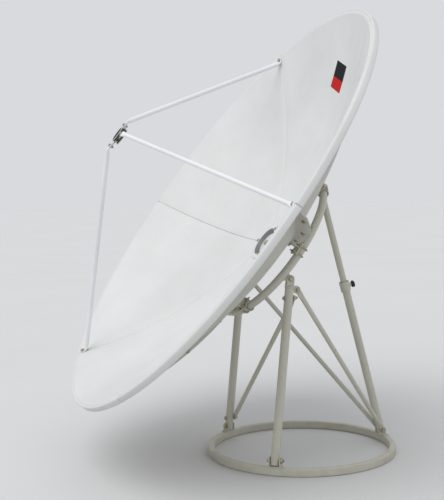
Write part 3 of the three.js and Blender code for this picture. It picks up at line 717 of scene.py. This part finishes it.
def make_rear_clevis():
    """Two ears with a slot for the rear leg's top bolt, clamped to the ring by two U-bolts."""
    top, ear_radius, slot_radius, u_reach = TO_REFLECTOR @ REAR_TOP, 17, 7.4, RING_TUBE + 7
    slot_z = top.z + 1.6
    outline = (arc(top.y + 2, top.z, ear_radius, 180, 270, 12)
               + arc(top.y + 14, top.z, ear_radius, 270, 360, 12))
    outline += [(RING_RADIUS + ear_radius, RING_Z - 10), (RING_RADIUS - ear_radius, RING_Z - 10)]
    slot = (arc(top.y, slot_z, slot_radius, 90, 270, 14)
            + arc(top.y + 11, slot_z, slot_radius, -90, 90, 14))
    shape = Shape()
    for way in (-1, 1):
        shape.add(plate(outline, 5, slot), REFLECTOR @ standing(way * 7.5))
    # A half pipe under the ears lies against the ring.
    cradle = arc(0, 0, RING_TUBE + 0.3, 180, 360, 20) + arc(0, 0, RING_TUBE + 4, 360, 180, 20)
    shape.add(plate(cradle, 46), REFLECTOR @ move(0, RING_RADIUS, RING_Z) @ standing())
    for y in (-17.5, 17.5):
        shape.add(box((46, 12, 4), (0, 0, 0)),
                  REFLECTOR @ move(0, RING_RADIUS + y * 1.3, RING_Z - 1))
    piece("rear_clevis_ears", shape, MOUNT_PAINT, "reflector", ["rear_clevis"], bevel=0.6)
    metal = Shape()
    for x in (-17, 17):
        place = REFLECTOR @ move(x, RING_RADIUS, RING_Z) @ turn(90) @ turn(180, "X")
        metal.add(u_bolt(u_reach, 12), place)
        for side in (-1, 1):
            metal.add(u_nut(), place @ move(side * u_reach, 0, 3.4))
    piece("rear_clevis_u_bolts", metal, ZINC, "reflector")


# ---- feed support ------------------------------------------------------------------------------
FEED_INNER, FEED_OUTER, FEED_LIP, FEED_HALF, FEED_Z = 26, 29.5, 32.5, 12, 694
EAR_BOLT = 54
STRUT_BOLT_PLACE = 866
STRUT_END, STRUT_FOOT_BEND, STRUT_TOP_BEND = 876, 853.5, 70


def make_feed_ring():
    """A band painted near black as painted shade, between two lips, with an ear for each strut."""
    low, high = FEED_Z - FEED_HALF, FEED_Z + FEED_HALF
    shape = Shape()
    for end in (low, high - 2.4):
        lip = [(FEED_INNER + 1, end), (FEED_LIP - 0.7, end), (FEED_LIP, end + 0.7),
               (FEED_LIP, end + 1.7), (FEED_LIP - 0.7, end + 2.4), (FEED_INNER + 1, end + 2.4)]
        shape.add(lathe(lip, 96), REFLECTOR)
    ear = [(FEED_OUTER - 1, -15), (FEED_OUTER + 6, -11)] + arc(EAR_BOLT, 0, 10, -80, 80, 14)
    ear += [(FEED_OUTER + 6, 11), (FEED_OUTER - 1, 15)]
    for seam in STRUT_SEAMS:
        shape.add(plate(ear, 3), seam_frame(seam) @ move(0, 0, FEED_Z))
    piece("feed_ring_lips", shape, EAR_PAINT, "reflector", ["feed_ring"], bevel=0.4)
    # The band between the lips is near black, as painted shade.
    band = [(FEED_INNER, low + 0.6), (FEED_OUTER, low + 0.6), (FEED_OUTER, high - 0.6),
            (FEED_INNER, high - 0.6)]
    piece("feed_ring_band", Shape((lathe(band, 96), REFLECTOR)), FEED_BAND_SHADE, "reflector",
          bevel=0.3)
    screws = Shape()
    for seam in STRUT_SEAMS:
        place = seam_frame(seam + 1) @ move(FEED_OUTER - 0.6, 0, FEED_Z)
        screws.add(bolt(6, 2.5, tail=4), place @ turn(90, "Y"))
    piece("feed_clamp_screws", screws, ZINC, "reflector")


def make_label():
    """A plain two-tone label on an upper petal, bent to the bowl."""
    clock, middle, width, height, red_share, steps = 79.5, 669, 128, 94, 0.42, 12
    askew = turn(-9)
    halves = (("dark", LABEL_DARK, red_share, 1.0), ("red", LABEL_RED, 0.0, red_share))
    for name, paint, low, high in halves:
        verts, faces = [], []
        for lift in (0.15, 0.5):
            for share in (low, high):
                for k in range(steps + 1):
                    spot = askew @ Vector((height * (share - 0.5), width * (k / steps - 0.5), 0))
                    x, y = middle + spot.x, spot.y
                    verts.append((x, y, bowl(math.hypot(x, y)) + lift))
        row = steps + 1
        for k in range(steps):
            for a, b in ((0, 1), (1, 3), (3, 2), (2, 0)):
                faces.append([a * row + k, a * row + k + 1, b * row + k + 1, b * row + k])
        faces += [[0, row, 3 * row, 2 * row], [steps + a * row for a in (0, 1, 3, 2)]]
        piece(f"label_{name}_half", Shape(((verts, faces), REFLECTOR @ turn(clock))), paint,
              "reflector")


def on_bowl(r, lift):
    """A point above the bowl in the plane of a seam."""
    lean = math.atan(r / (2 * FOCAL_LENGTH))
    return Vector((r - lift * math.sin(lean), 0, bowl(r) + lift * math.cos(lean)))


def make_struts():
    """Bent tubes, slightly oval, from the rim to the feed ring's ears, with their bolts."""
    top_z = FEED_Z + 4
    corners = [on_bowl(STRUT_END, 2.6), on_bowl(STRUT_FOOT_BEND, 2.6),
               Vector((STRUT_TOP_BEND, 0, top_z)), Vector((EAR_BOLT - 9.5, 0, top_z))]
    strut = flattened(corners, Y, 20, 19, 7.8, 9.3)
    lean = math.atan(STRUT_BOLT_PLACE / (2 * FOCAL_LENGTH))
    for i, seam in enumerate(STRUT_SEAMS):
        place = seam_frame(seam)
        piece(f"feed_strut_{i + 1}_tube", Shape((strut, place)), STRUT_PAINT, "reflector",
              [f"feed_strut_{i + 1}"], smooth=40)
        at = place @ move(*on_bowl(STRUT_BOLT_PLACE, 1.6)) @ turn(-math.degrees(lean), "Y")
        piece(f"strut_foot_bolt_{i + 1}_set", Shape((bolt(6.4, 4, tail=4), at)), ZINC, "reflector",
              [f"strut_foot_bolt_{i + 1}"])
        at = place @ move(EAR_BOLT, 0, FEED_Z + 2.3)
        piece(f"feed_ring_bolt_{i + 1}_set", Shape((bolt(8.0, 3, tail=3), at)), ZINC, "reflector",
              [f"feed_ring_bolt_{i + 1}"])


# ---- stand -------------------------------------------------------------------------------------
RIGHT_FOOT_ANGLE = math.degrees(math.atan2(FRONT_FOOT.y, FRONT_FOOT.x))
FEET = (("left", 180 - RIGHT_FOOT_ANGLE, FRONT_FOOT.xy.length, 22),
        ("right", RIGHT_FOOT_ANGLE, FRONT_FOOT.xy.length, 22),
        ("rear", 90, REAR_FOOT.y, 26.5))
PIN = REAR_FOOT.z
FOOT_EAR_RADIUS, FOOT_EAR_PLACE = 13, 20
GUSSET_BOLT = Vector((280, -114, 667))


def make_base_ring():
    """A ring of rectangular tube with rounded corners and one welded joint."""
    corner = 4
    outline = (arc(BASE_OUTER - corner, BASE_HEIGHT - corner, corner, 0, 90, 5)
               + arc(BASE_INNER + corner, BASE_HEIGHT - corner, corner, 90, 180, 5)
               + arc(BASE_INNER + corner, corner, corner, 180, 270, 5)
               + arc(BASE_OUTER - corner, corner, corner, 270, 360, 5))
    shape = Shape((lathe(outline, 160), STAND))
    section = [Vector((x, 0, z)) for x, z in outline]
    shape.add(weld([STAND @ turn(128) @ p for p in section[:11]], 1.5, closed=False))
    piece("base_ring_tube", shape, MOUNT_PAINT, "stand", ["base_ring"], smooth=40)


def make_feet():
    """Three clevises welded on the ring, with their bolts."""
    middle = (BASE_INNER + BASE_OUTER) / 2
    for name, angle, radius, span in FEET:
        place = STAND @ turn(angle)
        shape = Shape((box((24, 56, 4), (middle, 0, BASE_HEIGHT + 2.4)), place))
        ear = [(radius + FOOT_EAR_RADIUS, BASE_HEIGHT + 3)]
        ear += arc(radius, PIN, FOOT_EAR_RADIUS, 0, 180, 18)
        ear += [(radius - FOOT_EAR_RADIUS, BASE_HEIGHT + 3)]
        for side in (-1, 1):
            shape.add(plate(ear, 4), place @ upright(side * FOOT_EAR_PLACE))
            bead = [place @ Vector((radius + x, side * (FOOT_EAR_PLACE + 2.6), BASE_HEIGHT + 4.9))
                    for x in (-12, 0, 12)]
            shape.add(weld(bead, 1.9, closed=False))
        low = BASE_HEIGHT + 0.6
        edge = [(middle - 12.4, -28.4), (middle + 12.4, -28.4), (middle + 12.4, 28.4),
                (middle - 12.4, 28.4)]
        shape.add(weld([place @ Vector((x, y, low)) for x, y in edge], 1.9))
        piece(f"{name}_foot_clevis_ears", shape, MOUNT_PAINT, "stand", [f"{name}_foot_clevis"],
              bevel=0.6)
        at = place @ move(radius, 0, PIN) @ turn(90, "X")
        piece(f"{name}_foot_bolt_set", Shape((bolt(2 * span, 5), at)), ZINC, "stand",
              [f"{name}_foot_bolt"])


def on_leg(side, z):
    """The middle of a front leg at a height."""
    share = (z - PIN) / (TILT_AXIS.z - PIN)
    foot = Vector((side * FRONT_FOOT.x, FRONT_FOOT.y, PIN))
    return foot.lerp(Vector((side * TILT_AXIS.x, TILT_AXIS.y, TILT_AXIS.z)), share)


def make_front_legs():
    """Two tubes, each with a head of two ears round the tilt bolt and a gusset for a brace."""
    for name, side in SIDES:
        low, high = STAND @ on_leg(side, LEG_FOOT), STAND @ on_leg(side, LEG_TOP)
        piece(f"front_leg_{name}_tube", Shape((tube(low, high, LEG_RADIUS, 2),)), MOUNT_PAINT,
              "stand", [f"front_leg_{name}"], smooth=40)
        along = (high - low).normalized()
        cap = [(0, 0), (LEG_RADIUS, 0), (LEG_RADIUS, 5.2), (LEG_RADIUS - 1, 6), (0, 6)]
        shape = Shape((lathe(cap, 36), aimed(high + along * 0.4, along)))
        shape.add(weld([aimed(high, along) @ p for p in circle(LEG_RADIUS + 0.2)], 1.7))
        y, z = TILT_AXIS.y, TILT_AXIS.z
        top = on_leg(side, LEG_TOP)
        ear = arc(y, z, 14, 0, 180, 18) + [(top.y - 15, top.z + 3), (top.y + 15, top.z + 3)]
        for way in (-1, 1):
            x = side * TILT_AXIS.x + way * 5.7
            shape.add(plate(ear, 5), STAND @ standing(x))
            bead = [STAND @ Vector((x + way * 2.9, top.y + d, top.z + 6.6)) for d in (-13, 0, 13)]
            shape.add(weld(bead, 1.8, closed=False))
        g = GUSSET_BOLT
        gusset = [(top.y, top.z + 5.5), (g.y, top.z + 5.5), (g.y + 10, g.z + 8),
                  (g.y + 10, g.z - 10), (g.y + 8, g.z - 12), (g.y - 8, g.z - 12),
                  (g.y - 14, g.z - 8), (g.y - 14, top.z + 1), (top.y, top.z + 1)]
        shape.add(plate(gusset, 5), STAND @ standing(side * TILT_AXIS.x))
        piece(f"leg_head_{name}_ears", shape, MOUNT_PAINT, "stand", [f"leg_head_{name}"], bevel=0.6)
        at = STAND @ move(side * TILT_AXIS.x, y, z) @ turn(side * 90, "Y")
        piece(f"tilt_bolt_{name}_set", Shape((bolt(16.6, 5), at)), ZINC, "stand",
              [f"tilt_bolt_{name}"])


def brace(first, second, normal):
    """A tube with flat ends whose bolts run along the normal, between two bolt places."""
    flat = (second - first) - normal * (second - first).dot(normal)
    flat.normalize()
    corners = [first - flat * 10, first + flat * 15, second - flat * 15, second + flat * 10]
    return flattened(corners, normal.cross(flat), 20, 21, 9, 9, bend=30)


def make_braces():
    """One diagonal brace between the front legs, and one from each leg to the rear foot."""
    low_z, high_z, behind = 84, 640, 21
    ends = [on_leg(side, z) + Vector((0, behind, 0)) for side, z in ((-1, low_z), (1, high_z))]
    piece("cross_brace_tube", Shape((brace(*ends, Y), STAND)), MOUNT_PAINT, "stand",
          ["cross_brace"], smooth=40)
    for name, end in zip(("left", "right"), ends):
        grip = LEG_RADIUS + behind + 2
        at = STAND @ move(end.x, end.y + 2 - grip / 2, end.z) @ turn(90, "X")
        piece(f"cross_brace_bolt_{name}_set", Shape((bolt(grip, 4), at)), ZINC, "stand",
              [f"cross_brace_bolt_{name}"])
    for name, side in SIDES:
        foot = Vector((side * 24.5, REAR_FOOT.y, PIN))
        top = Vector((side * 275, GUSSET_BOLT.y, GUSSET_BOLT.z))
        piece(f"side_brace_{name}_tube", Shape((brace(foot, top, X), STAND)), MOUNT_PAINT,
              "stand", [f"side_brace_{name}"], smooth=40)
        at = STAND @ move(side * 277.75, top.y, top.z) @ turn(90, "Y")
        piece(f"side_brace_bolt_{name}_set", Shape((bolt(9.5, 4), at)), ZINC, "stand",
              [f"side_brace_bolt_{name}"])


# ---- rear leg ----------------------------------------------------------------------------------
rear_lean = REAR_TOP - REAR_FOOT
REAR_LEG = STAND @ Matrix.Translation(REAR_FOOT) @ Matrix.Rotation(
    math.atan2(-rear_lean.y, rear_lean.z), 4, "X")
REAR_LENGTH = rear_lean.length


def along_leg(z):
    return REAR_LEG @ Vector((0, 0, z))


def make_rear_leg():
    """A telescoping leg: tube, clamp collar with screw and knob, rod with its eye and bolt."""
    rod_radius, rod_length, rod_top = 12.5, 560, REAR_LENGTH - 33
    piece("rear_leg_tube_body", Shape((tube(along_leg(-12), along_leg(622), 15.5, 2.2),)),
          MOUNT_PAINT, "rear_tube", ["rear_leg_tube"], smooth=40)
    sleeve = [(16, -19), (17, -20), (19.2, -20), (20, -19.2), (20, 19.2), (19.2, 20), (17, 20),
              (16, 19)]
    boss = [(4.6, 19), (9, 19), (9, 24.6), (8, 26), (4.6, 26)]
    place = REAR_LEG @ move(0, 0, CLAMP_HEIGHT)
    outward = place @ turn(-90, "X")
    shape = Shape((lathe(sleeve, 48), place), (lathe(boss, 6), outward))
    shape.add(weld([outward @ p for p in circle(9.4, 18.6, 24)], 1.4))
    shape.add(weld([place @ p for p in circle(16.6, -20.4)], 1.5))
    piece("clamp_collar_sleeve", shape, MOUNT_PAINT, "rear_tube", ["clamp_collar"])
    screw = [(0, 13)]
    for k in range(11):
        screw += [(3.5, 13.2 + k * 1.2), (4.0, 13.8 + k * 1.2)]
    screw += [(3.5, 27), (0, 27)]
    piece("clamp_screw_thread", Shape((lathe(screw, 20), outward)), ZINC, "clamp",
          ["clamp_screw"])
    piece("clamp_knob_grip", Shape((knob(), outward)), KNOB, "clamp", ["clamp_knob"], smooth=45)
    ends = along_leg(rod_top - rod_length), along_leg(rod_top)
    piece("rear_leg_rod_body", Shape((tube(*ends, rod_radius, 2),)), MOUNT_PAINT, "rear_rod",
          ["rear_leg_rod"], smooth=40)
    cap = [(0, 0), (rod_radius, 0), (rod_radius, 3.4), (rod_radius - 0.7, 4), (0, 4)]
    eye = arc(0, 0, 12, 0, 180, 20) + [(-12, -32), (12, -32)]
    hole = arc(0, 0, 5.3, 0, 360, 24)[:-1]
    shape = Shape((lathe(cap, 36), REAR_LEG @ move(0, 0, rod_top + 0.4)),
                  (plate(eye, 8, hole), REAR_LEG @ move(0, 0, REAR_LENGTH) @ standing()))
    shape.add(weld([REAR_LEG @ p for p in circle(12.6, rod_top)], 1.4))
    piece("rod_eye_plate", shape, MOUNT_PAINT, "rear_rod", ["rod_eye"], bevel=0.6)
    at = REAR_LEG @ move(0, 0, REAR_LENGTH) @ turn(90, "Y")
    piece("top_pivot_bolt_set", Shape((bolt(21, 5), at)), ZINC, "rear_rod", ["top_pivot_bolt"])


def knob():
    """A seven-lobed hand knob along +Z, crowned on top."""
    lobes, steps = 7, 70
    levels = ((8, 26.6, 0), (8, 29.4, 0), (10.5, 30, 0.5), (12.2, 31.2, 1.2), (12.5, 33, 1.5),
              (12.5, 37, 1.5), (12.0, 39, 1.4), (10.6, 40.2, 1.0), (8, 40.6, 0.4), (6, 40.2, 0),
              (5.6, 39.4, 0))
    verts = []
    for radius, z, wave in levels:
        for k in range(steps):
            a = TAU * k / steps
            r = radius + wave * math.cos(lobes * a)
            verts.append((r * math.cos(a), r * math.sin(a), z))
    faces = [list(range(steps)), list(range((len(levels) - 1) * steps, len(levels) * steps))]
    for i in range(len(levels) - 1):
        a, b = i * steps, (i + 1) * steps
        faces += [[a + k, a + (k + 1) % steps, b + (k + 1) % steps, b + k] for k in range(steps)]
    return verts, faces


# ---- studio ------------------------------------------------------------------------------------
def make_floor():
    """A wide pale floor a millimetre under the object."""
    size, low = 60, -0.001
    mesh = bpy.data.meshes.new("floor")
    mesh.from_pydata([(-size, -size, low), (size, -size, low), (size, size, low),
                      (-size, size, low)], [], [(0, 1, 2, 3)])
    floor = bpy.data.objects.new("floor", mesh)
    bpy.context.scene.collection.objects.link(floor)
    n = Nodes("pale floor", "")
    tone = n.mix(n.spread(n.noise(0.8, 4.0), 0.35, 0.65), (0.665,) * 3, (0.65,) * 3)
    n.link(tone, n.shader.inputs["Base Color"])
    n.shader.inputs["Roughness"].default_value = 0.9
    n.shader.inputs["Specular IOR Level"].default_value = 0.1
    mesh.materials.append(n.material)


def make_studio():
    """Even light from all round, and one broad soft light from the front, above."""
    make_floor()
    light = bpy.data.lights.new("key", "SUN")
    light.energy, light.angle = 1.46, math.radians(50)
    key = bpy.data.objects.new("key", light)
    key.rotation_euler = Vector((0.35, -0.5, 0.79)).to_track_quat("Z", "Y").to_euler()
    bpy.context.scene.collection.objects.link(key)
    world = bpy.data.worlds.new("studio")
    world.use_nodes = True
    background = world.node_tree.nodes["Background"]
    background.inputs["Color"].default_value = (0.69, 0.70, 0.72, 1)
    bpy.context.scene.world = world
    bpy.context.scene.view_settings.view_transform = "Standard"


def make_camera():
    """The camera of the photograph: nearly level, from the dish's left front quarter."""
    azimuth, elevation, roll, distance = 73.31, 3.49, -1.13, 3.6687
    target = Vector((0, -0.0545, 0.8050))
    camera = bpy.data.objects.new("camera", bpy.data.cameras.new("camera"))
    camera.data.lens, camera.data.sensor_width = 69.13, 36
    facing = turn(azimuth) @ turn(90 - elevation, "X") @ turn(roll)
    camera.matrix_world = Matrix.Translation(target) @ facing @ move(0, 0, distance)
    bpy.context.scene.collection.objects.link(camera)
    bpy.context.scene.camera = camera


make_camera()
make_studio()
make_petals()
make_seam_fixings()
make_hub()
make_mount_ring()
make_ring_brackets()
make_rear_clevis()
make_feed_ring()
make_label()
make_struts()
make_base_ring()
make_feet()
make_front_legs()
make_braces()
make_rear_leg()
